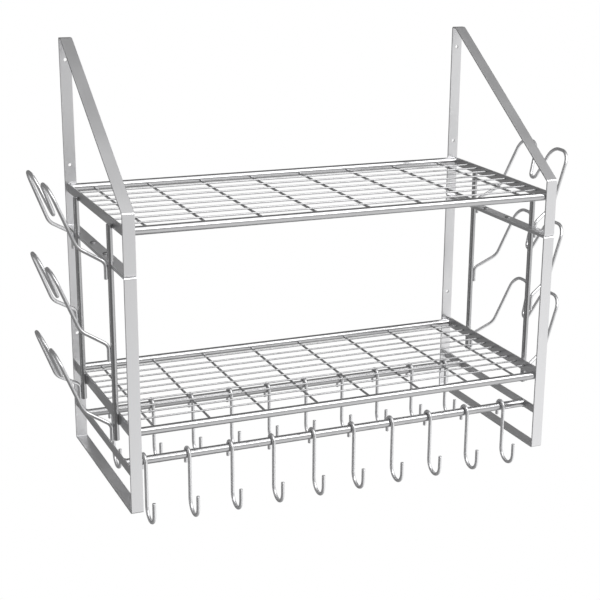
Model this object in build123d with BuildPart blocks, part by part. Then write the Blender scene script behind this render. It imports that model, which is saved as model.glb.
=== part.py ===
"""Wall mounted pot rack with two wire shelves, two hook rails, side hooks and hanging S-hooks.

Millimetres, +Z up. The wall is the plane Y = 0 and the rack stands out from it towards -Y.
The origin is the middle of the four upper wall holes. Heights in the list of sizes are counted
from the underside of the lower brackets, and level() turns such a height into Z.
"""

import math
import os

from build123d import *

# Overall sizes
rack_width = 760.0
rack_depth = 358.0

# Bracket straps
strap_width = 20.0
strap_thickness = 3.0
strap_bend_radius = 4.0
strap_edge_round = 0.6
lower_bracket_height = 390.0
upper_bracket_height = 321.0
upper_post_height = 98.0
top_ledge = 14.0

# Wall holes, as heights above the underside of the lower brackets
wall_hole_diameter = 6.0
high_hole_height = 674.0
middle_hole_height = 497.0
low_hole_height = 197.0

# Bolts that join an upper bracket to the tapped bar of a lower one
seam_bolt_spacing = 78.0
bolt_diameter = 6.0
bolt_hole_clearance = 0.5
bolt_thread_gap = 0.1
bolt_head_diameter = 10.0
bolt_head_height = 2.4
bolt_crown_radius = 1.7
bolt_socket_width = 4.0
bolt_socket_depth = 1.4
bolt_end_past_bar = 0.5

# Shelves
tube_diameter = 14.0
tube_wall = 1.2
upper_tube_height = 459.0
lower_tube_height = 135.0
plate_thickness = 3.0
plate_edge_round = 0.5
plate_below_tube = 9.0
upper_plate_height = 15.5
lower_plate_height = 19.0
cross_wire_diameter = 4.0
cross_wire_count = 8
cross_wire_end_margin = 40.75
cross_wire_drop = 2.0
long_wire_diameter = 3.0
upper_long_wire_count = 8
upper_long_wire_rear_margin = 50.0
upper_long_wire_front_margin = 44.4
lower_long_wire_count = 10
lower_long_wire_rear_margin = 32.5
lower_long_wire_front_margin = 49.0

# Hook rails and the flat bars that carry them
rail_diameter = 14.0
rail_wall = 1.2
rail_height = 65.0
rail_inset = 58.0
carrier_height = 14.0

# Upright rods outside the end plates, which end just below the stubs of the lowest side hooks.
# Their centre lines lie in the plane of the brackets' outside, and the bars at the seam are notched for them.
rod_diameter = 9.5
rod_spacing = 208.0
rod_notch_gap = 0.2
rod_below_last_stub = 0.5
rod_top_below_tube = 2.0

# Side hooks with their ends on the rods; u runs along the rack's depth and v up the leaning plane of the M
side_hook_wire = 6.0
side_hook_count = 3
side_hook_top_height = 426.5
side_hook_pitch = 134.5
side_hook_reach = 51.0
side_hook_lean = 21.5
side_hook_stub_top = 30.0
side_hook_stub_foot = 57.0
side_hook_bend_u = 93.0
side_hook_bend_v = -6.0
side_hook_horn_v = 93.0
side_hook_outer_u = 80.0
side_hook_inner_u = 27.0
side_hook_dip_v = 3.0
side_hook_stub_radius = 12.0
side_hook_bend_radius = 28.0
side_hook_horn_radius = 26.0
side_hook_dip_radius = 11.0

# S-hooks
s_hook_wire = 6.0
s_hook_count = 10
s_hook_end_margin = 39.25
s_hook_rail_gap = 0.3
s_hook_tail = 19.0
s_hook_shank = 75.0
s_hook_bowl_radius = 20.5
s_hook_tip = 20.0
front_hooks_shift = -8.0
rear_hooks_shift = 4.0

# Softening of every free wire end
wire_end_round = 0.8

# Places worked out from the sizes
origin_height = (high_hole_height + middle_hole_height) / 2
half_width = rack_width / 2
strap_centre_x = half_width - strap_width / 2
mid_depth = -rack_depth / 2
seam_height = lower_bracket_height
plate_outer_x = half_width - rod_diameter / 2
plate_inner_x = plate_outer_x - plate_thickness
rear_tube_y = -(strap_thickness + tube_diameter / 2)
front_tube_y = -(rack_depth - strap_thickness - tube_diameter / 2)
rod_x = half_width
rod_back_y = mid_depth + rod_spacing / 2
rod_front_y = mid_depth - rod_spacing / 2
rear_rail_y = -rail_inset
front_rail_y = -(rack_depth - rail_inset)
cross_wire_spacing = 2 * (plate_inner_x - cross_wire_end_margin) / (cross_wire_count - 1)
s_hook_spacing = 2 * (plate_inner_x - s_hook_end_margin) / (s_hook_count - 1)
last_stub_foot = side_hook_top_height - (side_hook_count - 1) * side_hook_pitch - side_hook_stub_foot
rod_foot_height = last_stub_foot - rod_below_last_stub
sides = {"left": -1, "right": 1}

os.makedirs("parts", exist_ok=True)


def level(height):
    """Z of a height counted from the underside of the lower brackets."""
    return height - origin_height


def keep(piece, name):
    """Label a finished piece and write its STEP file."""
    piece.label = name
    export_step(piece, f"parts/{name}.step")


# Brackets


def strap_loop(outline, side, wall_hole_heights, bar_height, bolt_hole_diameter):
    """Closed strap loop with its wall holes, and the bolt holes and rod notches of its bar at the seam."""
    strap_x = side * strap_centre_x
    with BuildPart() as loop:
        with BuildSketch(Plane.YZ.offset(strap_x - strap_width / 2)) as profile:
            with BuildLine():
                Polyline(*outline, close=True)
            make_face()
            fillet(profile.vertices(), strap_bend_radius)
            offset(amount=-strap_thickness, mode=Mode.SUBTRACT)
        extrude(amount=strap_width)
        rims = loop.faces().filter_by(Axis.X).edges()
        fillet(rims, strap_edge_round)
        with BuildSketch(Plane.XZ):
            with Locations([(strap_x, level(height)) for height in wall_hole_heights]):
                Circle(wall_hole_diameter / 2)
        extrude(amount=strap_thickness, mode=Mode.SUBTRACT)
        with BuildSketch(Plane.XY.offset(level(bar_height))):
            with Locations((strap_x, mid_depth)):
                with GridLocations(strap_width, seam_bolt_spacing, 1, 2):
                    Circle(bolt_hole_diameter / 2)
            with Locations((side * rod_x, mid_depth)):
                with GridLocations(strap_width, rod_spacing, 1, 2):
                    Circle(rod_diameter / 2 + rod_notch_gap)
        extrude(amount=strap_thickness, mode=Mode.SUBTRACT)
    return loop.part


upper_top = level(seam_height + upper_bracket_height)
upper_outline = [
    (0, level(seam_height)),
    (0, upper_top),
    (-top_ledge, upper_top),
    (-rack_depth, level(seam_height + upper_post_height)),
    (-rack_depth, level(seam_height)),
]
lower_outline = [
    (0, level(0)),
    (0, level(seam_height)),
    (-rack_depth, level(seam_height)),
    (-rack_depth, level(0)),
]
high_holes = [high_hole_height, middle_hole_height]
low_bar = seam_height - strap_thickness
clear_hole = bolt_diameter + bolt_hole_clearance
tapped_hole = bolt_diameter + bolt_thread_gap
for side_name, side in sides.items():
    upper = strap_loop(upper_outline, side, high_holes, seam_height, clear_hole)
    keep(upper, f"upper_bracket_{side_name}")
    lower = strap_loop(lower_outline, side, [low_hole_height], low_bar, tapped_hole)
    keep(lower, f"lower_bracket_{side_name}")

# Bolts at the seam
bolt_places = [
    (side * strap_centre_x, mid_depth + end * seam_bolt_spacing / 2)
    for side in sides.values()
    for end in (-1, 1)
]
bar_top = level(seam_height + strap_thickness)
bolt_length = 2 * strap_thickness + bolt_end_past_bar

with BuildPart() as bracket_bolts:
    with BuildSketch(Plane.XY.offset(bar_top)):
        with Locations(bolt_places):
            Circle(bolt_head_diameter / 2)
    extrude(amount=bolt_head_height)
    crown = bracket_bolts.faces().filter_by(Axis.Z).group_by(Axis.Z)[-1].edges()
    fillet(crown, bolt_crown_radius)
    with BuildSketch(Plane.XY.offset(bar_top + bolt_head_height)):
        with Locations(bolt_places):
            RegularPolygon(bolt_socket_width / 2, 6, major_radius=False)
    extrude(amount=-bolt_socket_depth, mode=Mode.SUBTRACT)
    with BuildSketch(Plane.XY.offset(bar_top)):
        with Locations(bolt_places):
            Circle(bolt_diameter / 2)
    extrude(amount=-bolt_length)
keep(bracket_bolts.part, "bracket_bolts")


# Shelves, rails and their flat bars


def crossbar(diameter, wall, y, height):
    """Tube from end plate to end plate."""
    with BuildPart() as tube:
        with BuildSketch(Plane.YZ):
            with Locations((y, level(height))):
                Circle(diameter / 2)
                Circle(diameter / 2 - wall, mode=Mode.SUBTRACT)
        extrude(amount=plate_inner_x, both=True)
    return tube.part


def side_plate(side, foot_height, height):
    """Flat bar on edge from the upright to the front post, just inside the rods."""
    middle = level(foot_height + height / 2)
    with BuildPart() as plate:
        with BuildSketch(Plane.XZ.offset(strap_thickness)):
            with Locations((side * (plate_outer_x - plate_thickness / 2), middle)):
                Rectangle(plate_thickness, height)
        extrude(amount=rack_depth - 2 * strap_thickness)
        fillet(plate.edges().filter_by(Axis.Y), plate_edge_round)
    return plate.part


def cross_wires(tube_height):
    """Thick wires from the rear tube to the front tube, coped to both."""
    wire_z = level(tube_height - cross_wire_drop)
    with BuildPart() as wires:
        with BuildSketch(Plane.XZ.offset(-rear_tube_y)):
            with Locations((0, wire_z)):
                with GridLocations(cross_wire_spacing, cross_wire_spacing, cross_wire_count, 1):
                    Circle(cross_wire_diameter / 2)
        extrude(amount=rear_tube_y - front_tube_y)
        with BuildSketch(Plane.YZ):
            with Locations((rear_tube_y, level(tube_height)), (front_tube_y, level(tube_height))):
                Circle(tube_diameter / 2)
        extrude(amount=half_width, both=True, mode=Mode.SUBTRACT)
    return wires.part


def long_wires(tube_height, count, rear_margin, front_margin):
    """Thin wires along the shelf, lying on the cross wires; the margins run to the tubes' centre lines."""
    lift = (cross_wire_diameter + long_wire_diameter) / 2 - cross_wire_drop
    first_y = rear_tube_y - rear_margin
    spacing = (first_y - front_tube_y - front_margin) / (count - 1)
    with BuildPart() as wires:
        with BuildSketch(Plane.YZ):
            for number in range(count):
                with Locations((first_y - number * spacing, level(tube_height + lift))):
                    Circle(long_wire_diameter / 2)
        extrude(amount=plate_inner_x, both=True)
    return wires.part


upper_wires = (upper_long_wire_count, upper_long_wire_rear_margin, upper_long_wire_front_margin)
lower_wires = (lower_long_wire_count, lower_long_wire_rear_margin, lower_long_wire_front_margin)
shelf_sizes = {
    "upper_shelf": (upper_tube_height, upper_plate_height, upper_wires),
    "lower_shelf": (lower_tube_height, lower_plate_height, lower_wires),
}
for shelf_name, (tube_height, plate_height, wire_layout) in shelf_sizes.items():
    keep(crossbar(tube_diameter, tube_wall, front_tube_y, tube_height), f"{shelf_name}_front_tube")
    keep(crossbar(tube_diameter, tube_wall, rear_tube_y, tube_height), f"{shelf_name}_rear_tube")
    keep(cross_wires(tube_height), f"{shelf_name}_cross_wires")
    keep(long_wires(tube_height, *wire_layout), f"{shelf_name}_long_wires")
    for side_name, side in sides.items():
        plate = side_plate(side, tube_height - plate_below_tube, plate_height)
        keep(plate, f"{shelf_name}_{side_name}_end_plate")

keep(crossbar(rail_diameter, rail_wall, front_rail_y, rail_height), "front_hook_rail")
keep(crossbar(rail_diameter, rail_wall, rear_rail_y, rail_height), "rear_hook_rail")
for side_name, side in sides.items():
    carrier = side_plate(side, rail_height - carrier_height / 2, carrier_height)
    keep(carrier, f"rail_carrier_{side_name}")

# Upright rods
rod_length = upper_tube_height - rod_top_below_tube - rod_foot_height
for side_name, side in sides.items():
    for end_name, rod_y in (("front", rod_front_y), ("rear", rod_back_y)):
        with BuildPart() as rod:
            with BuildSketch(Plane.XY.offset(level(rod_foot_height))):
                with Locations((side * rod_x, rod_y)):
                    Circle(rod_diameter / 2)
            extrude(amount=rod_length)
            fillet(rod.edges().filter_by(GeomType.CIRCLE), wire_end_round)
        keep(rod.part, f"{end_name}_rod_{side_name}")


# Bent wire


def bent_wire(path, diameter):
    """Round wire along a path, with softened ends."""
    with BuildPart() as wire:
        with BuildSketch(Plane(origin=path @ 0, z_dir=path % 0)):
            Circle(diameter / 2)
        sweep(path=path)
        fillet(wire.faces().filter_by(GeomType.PLANE).edges(), wire_end_round)
    return wire.part


def side_hook_path(side, bend_height):
    """Centre line of one M-shaped side hook, from the rear stub round to the front one."""
    stub_x = rod_x + (rod_diameter + side_hook_wire) / 2
    lean = math.radians(side_hook_lean)

    def on_plane(u, v):
        """Point of the leaning plane that the M lies in."""
        x = half_width + side_hook_reach + v * math.sin(lean)
        return (side * x, mid_depth + u, level(bend_height) + v * math.cos(lean))

    rear_half = [
        (side * stub_x, rod_back_y, level(bend_height - side_hook_stub_foot)),
        (side * stub_x, rod_back_y, level(bend_height - side_hook_stub_top)),
        on_plane(side_hook_bend_u, side_hook_bend_v),
        on_plane(side_hook_outer_u, side_hook_horn_v),
        on_plane(side_hook_inner_u, side_hook_horn_v),
    ]
    front_half = [(x, 2 * mid_depth - y, z) for x, y, z in reversed(rear_half)]
    half_radii = [
        side_hook_stub_radius,
        side_hook_bend_radius,
        side_hook_horn_radius,
        side_hook_horn_radius,
    ]
    corner_radii = half_radii + [side_hook_dip_radius] + half_radii[::-1]
    with BuildLine() as line:
        FilletPolyline(*rear_half, on_plane(0, side_hook_dip_v), *front_half, radius=corner_radii)
    return line.line


for side_name, side in sides.items():
    for number in range(side_hook_count):
        path = side_hook_path(side, side_hook_top_height - number * side_hook_pitch)
        keep(bent_wire(path, side_hook_wire), f"side_hook_{side_name}_{number + 1}")


def s_hook_path(x, rail_y):
    """Centre line of one S-hook, from its tail behind the rail to the tip of its bowl."""
    rail_z = level(rail_height)
    curl = rail_diameter / 2 + s_hook_rail_gap + s_hook_wire / 2
    tail_y = rail_y + curl
    shank_y = rail_y - curl
    bowl_z = rail_z - s_hook_shank
    tip_y = shank_y - 2 * s_hook_bowl_radius
    with BuildLine(Plane.YZ.offset(x)) as line:
        Line((tail_y, rail_z - s_hook_tail), (tail_y, rail_z))
        ThreePointArc((tail_y, rail_z), (rail_y, rail_z + curl), (shank_y, rail_z))
        Line((shank_y, rail_z), (shank_y, bowl_z))
        bowl_low = (shank_y - s_hook_bowl_radius, bowl_z - s_hook_bowl_radius)
        ThreePointArc((shank_y, bowl_z), bowl_low, (tip_y, bowl_z))
        Line((tip_y, bowl_z), (tip_y, bowl_z + s_hook_tip))
    return line.line


rails = {
    "front": (front_rail_y, front_hooks_shift),
    "rear": (rear_rail_y, rear_hooks_shift),
}
for rail_name, (rail_y, shift) in rails.items():
    first_x = shift - s_hook_spacing * (s_hook_count - 1) / 2
    for number in range(s_hook_count):
        path = s_hook_path(first_x + number * s_hook_spacing, rail_y)
        keep(bent_wire(path, s_hook_wire), f"s_hook_{rail_name}_{number + 1}")
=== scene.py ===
"""Look of the wall mounted pot rack: satin steel, weld beads, a plain white studio and the camera.

Metres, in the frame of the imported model: +X right, +Y into the wall, +Z up, with the origin at the
middle of the four upper wall holes.
"""

import math
import random

import bmesh
import bpy
from mathutils import Matrix, Vector


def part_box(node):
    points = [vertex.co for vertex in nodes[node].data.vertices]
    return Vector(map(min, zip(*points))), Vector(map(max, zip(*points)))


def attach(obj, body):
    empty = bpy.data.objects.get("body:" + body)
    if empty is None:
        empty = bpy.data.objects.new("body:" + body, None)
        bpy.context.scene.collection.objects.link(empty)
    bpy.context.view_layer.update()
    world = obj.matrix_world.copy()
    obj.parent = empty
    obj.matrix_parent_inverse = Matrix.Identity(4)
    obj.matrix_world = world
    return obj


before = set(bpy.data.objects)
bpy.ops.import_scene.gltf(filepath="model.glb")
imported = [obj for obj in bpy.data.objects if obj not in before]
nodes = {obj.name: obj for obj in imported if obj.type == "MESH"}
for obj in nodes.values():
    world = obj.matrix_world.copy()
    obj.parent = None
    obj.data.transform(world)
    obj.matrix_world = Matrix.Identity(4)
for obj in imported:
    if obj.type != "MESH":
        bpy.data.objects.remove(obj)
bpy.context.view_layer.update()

MM = 0.001


# Materials


# Noise rarely leaves this range, which is spread over the whole of a tone or a gloss.
NOISE_LOW = 0.25
NOISE_HIGH = 0.75

# How fine each noise is, and how many finer layers it has
LINE_SCALE = 1.0
LINE_DETAIL = 4.0
LINE_ROUGHNESS = 0.6
CLOUD_SCALE = 9.0
CLOUD_DETAIL = 3.0
SPECK_SCALE = 900.0
SPECK_DETAIL = 2.0

# What clouds, grain lines and specks do to the tone, the gloss and the relief
CLOUD_TONE = 0.6
LINE_TONE = 0.4
LINE_GLOSS = 0.05
SPECK_RELIEF = 0.15
RELIEF_STRENGTH = 0.35
GRAIN_HEIGHT = 0.02 * MM
BLUE_TINT = 1.012


class Nodes:
    """A node tree under construction: makes nodes and joins them."""

    def __init__(self, tree):
        self.tree = tree

    def feed(self, value, socket):
        """Give an input a plain value or another node's output."""
        if isinstance(value, bpy.types.NodeSocket):
            self.tree.links.new(value, socket)
        else:
            socket.default_value = value

    def add(self, kind, inputs=None, **settings):
        """New node with its properties set and then its inputs, which go by name or number."""
        node = self.tree.nodes.new(kind)
        for key, value in settings.items():
            setattr(node, key, value)
        for key, value in (inputs or {}).items():
            self.feed(value, node.inputs[key])
        return node

    def number(self, operation, *values):
        """Output of a math node."""
        node = self.add("ShaderNodeMath", dict(enumerate(values)), operation=operation)
        return node.outputs["Value"]

    def vector(self, operation, *values, output="Vector"):
        """Output of a vector math node."""
        node = self.add("ShaderNodeVectorMath", dict(enumerate(values)), operation=operation)
        return node.outputs[output]

    def noise(self, place, scale, detail, roughness=0.5):
        """Factor of a noise texture."""
        inputs = {"Vector": place, "Scale": scale, "Detail": detail, "Roughness": roughness}
        return self.add("ShaderNodeTexNoise", inputs).outputs["Fac"]

    def spread(self, noise, low, high):
        """Noise turned into low to high."""
        return self.remap(noise, (NOISE_LOW, NOISE_HIGH), (low, high))

    def remap(self, value, old, new, **settings):
        """Value moved from one range to another."""
        inputs = {"Value": value, "From Min": old[0], "From Max": old[1], "To Min": new[0], "To Max": new[1]}
        return self.add("ShaderNodeMapRange", inputs, **settings).outputs["Result"]


class Shader(Nodes):
    """The nodes of a new material."""

    def __init__(self, name):
        self.material = bpy.data.materials.new(name)
        self.material.use_nodes = True
        super().__init__(self.material.node_tree)
        self.tree.nodes.clear()
        self.output = self.add("ShaderNodeOutputMaterial")

    def finished(self, surface):
        """The material, with its surface joined to the output."""
        self.feed(surface, self.output.inputs["Surface"])
        return self.material


def along_axis(shader, stretch):
    """Coordinate whose noise is drawn out along the axes with a small stretch value."""
    place = shader.add("ShaderNodeTexCoord").outputs["Object"]
    return shader.vector("MULTIPLY", place, stretch)


ACROSS_STRAP = (1.0, 0.0, 0.0)
EDGE_WAY = (0.0, 0.01, 0.01)


def along_strap(shader, stretch):
    """Coordinate that runs along a strap bent in the YZ plane, whichever way the strap points.

    On the strap's edges the cross product is almost nothing, so a small fixed vector gives the way.
    """
    coordinates = shader.add("ShaderNodeTexCoord").outputs
    cross = shader.vector("CROSS_PRODUCT", coordinates["Normal"], ACROSS_STRAP)
    way = shader.vector("ADD", cross, EDGE_WAY)
    unit = shader.vector("NORMALIZE", way)
    along = shader.vector("DOT_PRODUCT", coordinates["Object"], unit, output="Value")
    across = shader.add("ShaderNodeSeparateXYZ", {"Vector": coordinates["Object"]}).outputs["X"]
    joined = shader.add("ShaderNodeCombineXYZ", {"X": along, "Y": across}).outputs["Vector"]
    return shader.vector("MULTIPLY", joined, stretch)


def silver(tone):
    """Grey of a tone with a touch of blue."""
    return (tone, tone, tone * BLUE_TINT, 1.0)


def steel(name, tones, roughness, grain, stretch):
    """Silver steel with drawn grain, faint clouding and a little change in gloss."""
    shader = Shader(name)
    place = shader.add("ShaderNodeTexCoord").outputs["Object"]
    lines = shader.noise(grain(shader, stretch), LINE_SCALE, LINE_DETAIL, LINE_ROUGHNESS)
    clouds = shader.noise(place, CLOUD_SCALE, CLOUD_DETAIL)
    specks = shader.noise(place, SPECK_SCALE, SPECK_DETAIL)

    blend = shader.number("ADD", shader.spread(clouds, 0.0, CLOUD_TONE), shader.spread(lines, 0.0, LINE_TONE))
    colours = {"A": silver(tones[0]), "B": silver(tones[1]), "Factor": blend}
    tone = shader.add("ShaderNodeMix", colours, data_type="RGBA", blend_type="MIX")
    gloss = shader.number("ADD", shader.spread(clouds, *roughness), shader.spread(lines, 0.0, LINE_GLOSS))
    relief = shader.number("MULTIPLY_ADD", specks, SPECK_RELIEF, lines)
    heights = {"Strength": RELIEF_STRENGTH, "Distance": GRAIN_HEIGHT, "Height": relief}
    bump = shader.add("ShaderNodeBump", heights)
    finish = {
        "Base Color": tone.outputs["Result"],
        "Metallic": 1.0,
        "Roughness": gloss,
        "Normal": bump.outputs["Normal"],
    }
    return shader.finished(shader.add("ShaderNodeBsdfPrincipled", finish).outputs["BSDF"])


# How much the grain noise is squeezed along each axis: a small value draws it out into lines.
ALONG_X = (14.0, 1600.0, 1600.0)
ALONG_Y = (1600.0, 14.0, 1600.0)
ALONG_Z = (1600.0, 1600.0, 14.0)
ALONG_STRAP = (16.0, 1500.0, 1.0)
EVEN = (260.0, 260.0, 260.0)

# Each steel has a darkest and lightest tone, a lowest and highest roughness, and its grain.
steels = {
    "strap": steel("strap_steel_satin", (0.80, 0.86), (0.27, 0.32), along_strap, ALONG_STRAP),
    "plate": steel("plate_steel_satin", (0.74, 0.80), (0.26, 0.32), along_axis, ALONG_Y),
    "tube": steel("tube_steel_bright", (0.52, 0.57), (0.11, 0.15), along_axis, ALONG_X),
    "cross_wire": steel("cross_wire_steel", (0.70, 0.78), (0.16, 0.22), along_axis, ALONG_Y),
    # The rear hook rail's steel is a darker, rougher copy of the tube steel: its darker tone is painted
    # shade, for the shade of the lower shelf above it.
    "painted_shade_tube": steel("tube_steel_painted_shade", (0.46, 0.52), (0.32, 0.38), along_axis, ALONG_X),
    "long_wire": steel("long_wire_steel", (0.42, 0.48), (0.14, 0.20), along_axis, ALONG_X),
    # The lower shelf's long wires get a darker copy of the long wire steel: painted shade, for the shade of
    # the upper shelf above them.
    "painted_shade_wire": steel("long_wire_steel_painted_shade", (0.38, 0.44), (0.18, 0.24), along_axis, ALONG_X),
    "rod": steel("rod_steel_satin", (0.50, 0.56), (0.13, 0.18), along_axis, ALONG_Z),
    "side_hook": steel("side_hook_steel", (0.84, 0.90), (0.26, 0.32), along_axis, EVEN),
    "s_hook": steel("s_hook_steel", (0.88, 0.94), (0.34, 0.40), along_axis, EVEN),
    "fastener": steel("fastener_zinc", (0.34, 0.40), (0.42, 0.48), along_axis, EVEN),
    "weld": steel("weld_bead_steel", (0.50, 0.62), (0.26, 0.36), along_axis, EVEN),
}

# A node is made of the steel of the first of these words that its name holds.
steel_of = [
    ("_bracket_", "strap"),
    ("_end_plate", "plate"),
    ("rail_carrier", "plate"),
    ("_tube", "tube"),
    # Painted shade: the rear hook rail takes the darker copy of the tube steel.
    ("rear_hook_rail", "painted_shade_tube"),
    ("_hook_rail", "tube"),
    ("_cross_wires", "cross_wire"),
    # Painted shade: the lower shelf's long wires take the darker copy of the long wire steel.
    ("lower_shelf_long_wires", "painted_shade_wire"),
    ("_long_wires", "long_wire"),
    ("_rod_", "rod"),
    ("side_hook", "side_hook"),
    ("s_hook", "s_hook"),
    ("bracket_bolts", "fastener"),
]
for node_name, node in nodes.items():
    kind = next(kind for part, kind in steel_of if part in node_name)
    for material_slot in node.material_slots:
        material_slot.material = steels[kind]


# Weld beads


SIDES = {"left": -1, "right": 1}
SHELVES = ("upper_shelf", "lower_shelf")
ENDS = ("front", "rear")
HOOKS_PER_SIDE = 3
X_AXIS = Vector((1, 0, 0))
Y_AXIS = Vector((0, 1, 0))

HOOK_WIRE = 6 * MM

# Radius of the beads, the length of one ripple, and the fineness of the mesh
BEAD = 0.9 * MM
STUB_BEAD = 0.8 * BEAD
WIRE_BEAD = 0.6 * MM
RIPPLE = 1.3 * MM
STEPS_PER_RIPPLE = 4
BEAD_SIDES = 8
FEWEST_STEPS = 3

# Shape of a ripple, as shares of the bead's radius, and how blunt the end of a bead is
RIPPLE_VALLEY = 0.86
RIPPLE_RISE = 0.2
UNEVENNESS = 0.05
END_BLUNTNESS = 0.15

# How far the middle of a bead lies in from a tube's end and out from its skin, in from an end plate's
# faces, and out from the plate behind a rod
TUBE_BEAD_IN = 0.5 * BEAD
TUBE_BEAD_OUT = 0.2 * BEAD
PLATE_BEAD_IN = 0.3 * BEAD
ROD_BEAD_OUT = 0.7 * BEAD

# Stretches without a bead at the ends of a plate, beside a rod and at the foot of a side hook
PLATE_MARGIN = 1.5 * MM
ROD_MARGIN = 1.2 * MM
ROD_TOP_MARGIN = 2 * MM
STUB_MARGIN = 1.5 * MM
STUB_BEAD_LENGTH = 11 * MM

# What is shorter than this along Y is only the end face of a cross wire.
SHORTEST_WIRE = 10 * MM


def ring_of_corners(mesh, centre, way, size):
    """Corners of a bead's cross section."""
    side = way.orthogonal().normalized()
    other = way.cross(side)
    turns = [2 * math.pi * k / BEAD_SIDES for k in range(BEAD_SIDES)]
    places = [centre + size * (math.cos(turn) * side + math.sin(turn) * other) for turn in turns]
    return [mesh.verts.new(place) for place in places]


def nearest_shift(low, high):
    """How far the second ring is turned against the first, in corners."""
    return min(range(BEAD_SIDES), key=lambda k: (high[k].co - low[0].co).length)


def bead(mesh, points, radius, draw, closed):
    """Rippled bead along a line of points, with domed ends where the line is open."""
    last = len(points) - 1
    rings = []
    for i, point in enumerate(points):
        if closed:
            before, after = points[i - 1], points[(i + 1) % len(points)]
        else:
            before, after = points[max(i - 1, 0)], points[min(i + 1, last)]
        phase = (i % STEPS_PER_RIPPLE) / STEPS_PER_RIPPLE
        ripple = RIPPLE_VALLEY + RIPPLE_RISE * math.sin(math.pi * phase)
        size = radius * (ripple + draw.uniform(-UNEVENNESS, UNEVENNESS))
        if not closed:
            to_end = min(i, last - i) / STEPS_PER_RIPPLE
            size *= math.sqrt(min(1.0, END_BLUNTNESS + to_end))
        rings.append(ring_of_corners(mesh, point, (after - before).normalized(), size))
    pairs = list(zip(rings, rings[1:]))
    if closed:
        pairs.append((rings[-1], rings[0]))
    for low, high in pairs:
        shift = nearest_shift(low, high)
        for k in range(BEAD_SIDES):
            n = (k + 1) % BEAD_SIDES
            mesh.faces.new((low[k], low[n], high[(n + shift) % BEAD_SIDES], high[(k + shift) % BEAD_SIDES]))
    if not closed:
        mesh.faces.new(rings[0][::-1])
        mesh.faces.new(rings[-1])


def straight(start, end):
    """Points from start to end, a few for each ripple."""
    steps = max(FEWEST_STEPS, round((end - start).length / RIPPLE) * STEPS_PER_RIPPLE)
    return [start.lerp(end, i / steps) for i in range(steps + 1)]


def upright(foot, height):
    """Points from a foot straight up."""
    return straight(foot, foot + Vector((0, 0, height)))


def circle(centre, axis, radius):
    """Points round a circle, a few for each ripple."""
    side = axis.orthogonal().normalized()
    other = axis.cross(side).normalized()
    steps = round(2 * math.pi * radius / RIPPLE) * STEPS_PER_RIPPLE
    turns = [2 * math.pi * i / steps for i in range(steps)]
    return [centre + radius * (math.cos(turn) * side + math.sin(turn) * other) for turn in turns]


def welds(name, lines, radius, closed=False):
    """One piece of the frame made of a bead along each line of points."""
    draw = random.Random(name)
    shape = bmesh.new()
    for points in lines:
        bead(shape, points, radius, draw, closed)
    bmesh.ops.recalc_face_normals(shape, faces=shape.faces)
    mesh = bpy.data.meshes.new(name)
    shape.to_mesh(mesh)
    shape.free()
    for face in mesh.polygons:
        face.use_smooth = True
    mesh.materials.append(steels["weld"])
    piece = bpy.data.objects.new(name, mesh)
    bpy.context.scene.collection.objects.link(piece)
    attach(piece, "rack")


def groove(radius_a, radius_b, size):
    """Place of a bead in the groove between two round bars that touch: along their centres, and off."""
    apart = radius_a + radius_b
    along = ((radius_a + size) ** 2 - (radius_b + size) ** 2 + apart**2) / (2 * apart)
    return along, math.sqrt((radius_a + size) ** 2 - along**2)


def tube_end_lines():
    """Ring at each end of the tubes and rails, where they meet the plates."""
    tubes = [f"{shelf}_{end}_tube" for shelf in SHELVES for end in ENDS]
    rails = [f"{end}_hook_rail" for end in ENDS]
    for tube in tubes + rails:
        low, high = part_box(tube)
        centre = (low + high) / 2
        for x, inward in ((low.x, 1), (high.x, -1)):
            ring_centre = Vector((x + inward * TUBE_BEAD_IN, centre.y, centre.z))
            yield circle(ring_centre, X_AXIS, (high.z - low.z) / 2 + TUBE_BEAD_OUT)


def plate_end_lines():
    """Upright line at each end of the plates and carriers, where they meet the brackets."""
    for side_name, side in SIDES.items():
        plates = [f"{shelf}_{side_name}_end_plate" for shelf in SHELVES]
        for plate in plates + [f"rail_carrier_{side_name}"]:
            low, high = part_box(plate)
            inner_x = low.x if side > 0 else high.x
            for y, inward in ((low.y, 1), (high.y, -1)):
                x = inner_x - side * PLATE_BEAD_IN
                foot = Vector((x, y + inward * PLATE_BEAD_IN, low.z + PLATE_MARGIN))
                yield upright(foot, high.z - low.z - 2 * PLATE_MARGIN)


def rod_lines():
    """Line at both sides of each rod, where it stands against the end plates."""
    for side_name, side in SIDES.items():
        for end in ENDS:
            rod_low, rod_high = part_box(f"{end}_rod_{side_name}")
            rod_y = (rod_low.y + rod_high.y) / 2
            rod_radius = (rod_high.y - rod_low.y) / 2
            plate_x = min(abs(rod_low.x), abs(rod_high.x))
            off = 2 * math.sqrt(rod_radius * BEAD)
            for shelf in SHELVES:
                low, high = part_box(f"{shelf}_{side_name}_end_plate")
                bottom = low.z + ROD_MARGIN
                top = min(high.z - ROD_MARGIN, rod_high.z - ROD_TOP_MARGIN)
                for way in (-1, 1):
                    foot = Vector((side * (plate_x + ROD_BEAD_OUT), rod_y + way * off, bottom))
                    yield upright(foot, top - bottom)


def stub_lines():
    """Line at both sides of each side hook's feet, where they lie along the rods."""
    for side_name, side in SIDES.items():
        for end in ENDS:
            rod_low, rod_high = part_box(f"{end}_rod_{side_name}")
            rod_centre = (rod_low + rod_high) / 2
            along, off = groove((rod_high.y - rod_low.y) / 2, HOOK_WIRE / 2, STUB_BEAD)
            for number in range(1, HOOKS_PER_SIDE + 1):
                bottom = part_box(f"side_hook_{side_name}_{number}")[0].z + STUB_MARGIN
                for way in (-1, 1):
                    x = side * (abs(rod_centre.x) + along)
                    yield upright(Vector((x, rod_centre.y + way * off, bottom)), STUB_BEAD_LENGTH)


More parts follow.
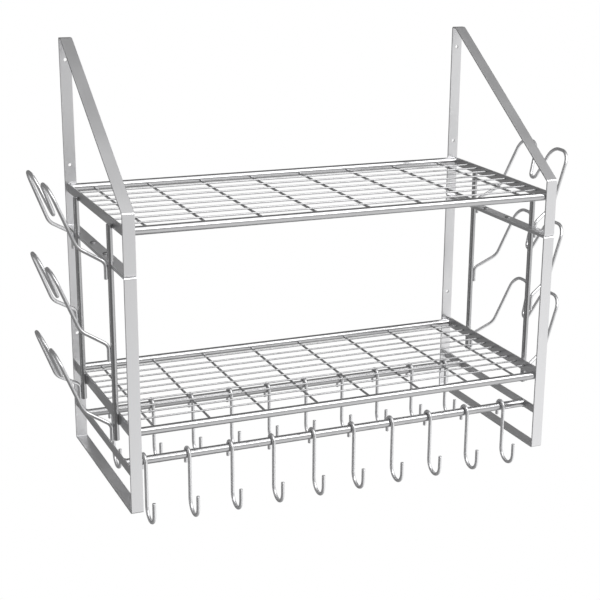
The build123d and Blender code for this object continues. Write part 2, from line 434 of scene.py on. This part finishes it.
def island_boxes(node):
    """Lowest and highest corner of each part of a node's mesh that hangs together."""
    shape = bmesh.new()
    shape.from_mesh(nodes[node].data)
    left = set(shape.verts)
    boxes = []
    for start in shape.verts:
        if start not in left:
            continue
        left.remove(start)
        reached = [start]
        island = []
        while reached:
            vertex = reached.pop()
            island.append(vertex.co.copy())
            for edge in vertex.link_edges:
                other = edge.other_vert(vertex)
                if other in left:
                    left.remove(other)
                    reached.append(other)
        lowest = Vector([min(point[i] for point in island) for i in range(3)])
        highest = Vector([max(point[i] for point in island) for i in range(3)])
        boxes.append((lowest, highest))
    shape.free()
    return boxes


def cross_wire_lines():
    """Ring at each end of the cross wires. A wire's end face is an island too, and has none."""
    for shelf in SHELVES:
        for low, high in island_boxes(f"{shelf}_cross_wires"):
            if high.y - low.y < SHORTEST_WIRE:
                continue
            centre = (low + high) / 2
            for y, inward in ((low.y, 1), (high.y, -1)):
                ring_centre = Vector((centre.x, y + inward * WIRE_BEAD, centre.z))
                yield circle(ring_centre, Y_AXIS, (high.x - low.x) / 2)


welds("welds_tube_ends", tube_end_lines(), BEAD, closed=True)
welds("welds_plate_ends", plate_end_lines(), BEAD)
welds("welds_rods", rod_lines(), BEAD)
welds("welds_side_hooks", stub_lines(), STUB_BEAD)
welds("welds_cross_wires", cross_wire_lines(), WIRE_BEAD, closed=True)


# Studio


WHITE = (1.0, 1.0, 1.0, 1.0)
SEEN_BY = ("Is Camera Ray", "Is Glossy Ray", "Is Transmission Ray")
FLOOR_Z = -1.25
FLOOR_REACH = 8.0
AMBIENT = 0.6


def seen(tree):
    """1 for a ray from the camera, off a mirror or through glass, and 0 for any other ray."""
    rays = tree.add("ShaderNodeLightPath").outputs
    chosen = rays[SEEN_BY[0]]
    for ray in SEEN_BY[1:]:
        chosen = tree.number("MAXIMUM", chosen, rays[ray])
    return chosen


def floor_material():
    """Plain white where it is seen, and white matt for the light that falls on it."""
    shader = Shader("floor_white")
    matt = shader.add("ShaderNodeBsdfDiffuse", {"Color": WHITE}).outputs["BSDF"]
    glow = shader.add("ShaderNodeEmission", {"Color": WHITE, "Strength": 1.0}).outputs["Emission"]
    mix = shader.add("ShaderNodeMixShader", {0: seen(shader), 1: matt, 2: glow})
    return shader.finished(mix.outputs["Shader"])


def stage_object(name, mesh, material):
    """Object of the studio, not of the rack."""
    mesh.materials.append(material)
    item = bpy.data.objects.new(name, mesh)
    bpy.context.scene.collection.objects.link(item)
    return item


def pale_floor():
    """Level white floor below the rack, which the steel doesn't mirror."""
    corners = [(x * FLOOR_REACH, y * FLOOR_REACH, 0) for x, y in ((-1, -1), (1, -1), (1, 1), (-1, 1))]
    mesh = bpy.data.meshes.new("floor")
    mesh.from_pydata(corners, [], [(0, 1, 2, 3)])
    floor = stage_object("floor", mesh, floor_material())
    floor.location = (0, 0, FLOOR_Z)
    floor.visible_glossy = False


# The steel mirrors a light tent: a grey shell with soft lit areas, which only reflections see.
# Each area is a turn to the right of -Y, a rise, the angles where it is full and where it ends, and
# its brightness. A later area lies over the earlier ones.
TENT_PLACE = (0, -0.2, -0.25)
TENT_RADIUS = 7
TENT_SEGMENTS = 96
TENT_RINGS = 48
TENT_GREY = 0.2
tent_areas = {
    "bounce_from_below": (0, -90, 10, 50, 0.34),
    "wash_from_the_right": (62, -15, 44, 62, 0.88),
    "wash_from_the_front": (38, 14, 18, 40, 0.70),
    "wash_from_low_in_front": (28, -34, 14, 32, 0.98),
    "bank_above_the_front": (15, 64, 22, 38, 1.75),
    "fill_behind_right": (140, -25, 14, 36, 0.6),
    "fill_left": (-95, 5, 15, 50, 0.34),
}


def direction(turn, rise):
    """Unit vector that points a turn to the right of -Y and a rise above the horizon, in degrees."""
    turn, rise = math.radians(turn), math.radians(rise)
    return (math.sin(turn) * math.cos(rise), -math.cos(turn) * math.cos(rise), math.sin(rise))


def tent_material():
    """Glow that changes with the place on the tent."""
    shader = Shader("tent_glow")
    place = shader.add("ShaderNodeTexCoord").outputs["Object"]
    level = TENT_GREY
    for turn, rise, full, end, brightness in tent_areas.values():
        facing = shader.vector("DOT_PRODUCT", place, direction(turn, rise), output="Value")
        angle = shader.number("ARCCOSINE", facing)
        limits = (math.radians(end), math.radians(full))
        area = shader.remap(angle, limits, (0.0, 1.0), interpolation_type="SMOOTHSTEP")
        levels = {"Factor": area, "A": level, "B": brightness}
        level = shader.add("ShaderNodeMix", levels, data_type="FLOAT").outputs["Result"]
    shader.material.cycles.emission_sampling = "NONE"
    return shader.finished(shader.add("ShaderNodeEmission", {"Strength": level}).outputs["Emission"])


def light_tent():
    """Unit sphere scaled up round the rack, so that its own coordinates are directions."""
    mesh = bpy.data.meshes.new("light_tent")
    shell = bmesh.new()
    bmesh.ops.create_uvsphere(shell, u_segments=TENT_SEGMENTS, v_segments=TENT_RINGS, radius=1.0)
    shell.to_mesh(mesh)
    shell.free()
    tent = stage_object("light_tent", mesh, tent_material())
    tent.location = TENT_PLACE
    tent.scale = (TENT_RADIUS, TENT_RADIUS, TENT_RADIUS)
    tent.visible_camera = False
    tent.visible_diffuse = False
    tent.visible_transmission = False
    tent.visible_shadow = False


def white_world():
    """White where it is seen, and a softer ambient light for the rest."""
    world = bpy.data.worlds.new("studio")
    bpy.context.scene.world = world
    world.use_nodes = True
    sky = Nodes(world.node_tree)
    background = world.node_tree.nodes["Background"]
    sky.feed(WHITE, background.inputs["Color"])
    sky.feed(sky.remap(seen(sky), (0.0, 1.0), (AMBIENT, 1.0)), background.inputs["Strength"])


SOFTBOX_PLACE = Vector((1.4, -2.2, 2.0))
SOFTBOX_TARGET = Vector((0, -0.2, -0.2))
SOFTBOX_WIDTH = 2.4
SOFTBOX_HEIGHT = 1.6
SOFTBOX_WATTS = 38


def softbox():
    """Large rectangular lamp at the front right."""
    lamp = bpy.data.lights.new("softbox_front_right", "AREA")
    lamp.shape = "RECTANGLE"
    lamp.size = SOFTBOX_WIDTH
    lamp.size_y = SOFTBOX_HEIGHT
    lamp.energy = SOFTBOX_WATTS
    item = bpy.data.objects.new(lamp.name, lamp)
    bpy.context.scene.collection.objects.link(item)
    item.location = SOFTBOX_PLACE
    item.rotation_euler = (SOFTBOX_TARGET - SOFTBOX_PLACE).to_track_quat("-Z", "Y").to_euler()


pale_floor()
light_tent()
white_world()
softbox()


# Camera, as found from the edges of the brackets in the photograph


CAMERA_PLACE = (-0.92906, -2.37047, 0.37995)
CAMERA_TURN = math.radians(-25.134)
CAMERA_TILT = math.radians(72.283)
CAMERA_ROLL = math.radians(1.115)
CAMERA_REACH = 50.0
FOCAL_PIXELS = 1416.5
CENTRE_PIXEL = (360.31, 334.14)
IMAGE_PIXELS = 600
SENSOR = 36.0

camera_data = bpy.data.cameras.new("camera")
camera_data.sensor_width = SENSOR
camera_data.lens = FOCAL_PIXELS / IMAGE_PIXELS * SENSOR
camera_data.shift_x = (IMAGE_PIXELS / 2 - CENTRE_PIXEL[0]) / IMAGE_PIXELS
camera_data.shift_y = (CENTRE_PIXEL[1] - IMAGE_PIXELS / 2) / IMAGE_PIXELS
camera_data.clip_end = CAMERA_REACH
camera = bpy.data.objects.new("camera", camera_data)
bpy.context.scene.collection.objects.link(camera)
camera.matrix_world = (
    Matrix.Translation(CAMERA_PLACE)
    @ Matrix.Rotation(CAMERA_TURN, 4, "Z")
    @ Matrix.Rotation(CAMERA_TILT, 4, "X")
    @ Matrix.Rotation(CAMERA_ROLL, 4, "Z")
)
bpy.context.scene.camera = camera
bpy.context.scene.view_settings.view_transform = "Standard"
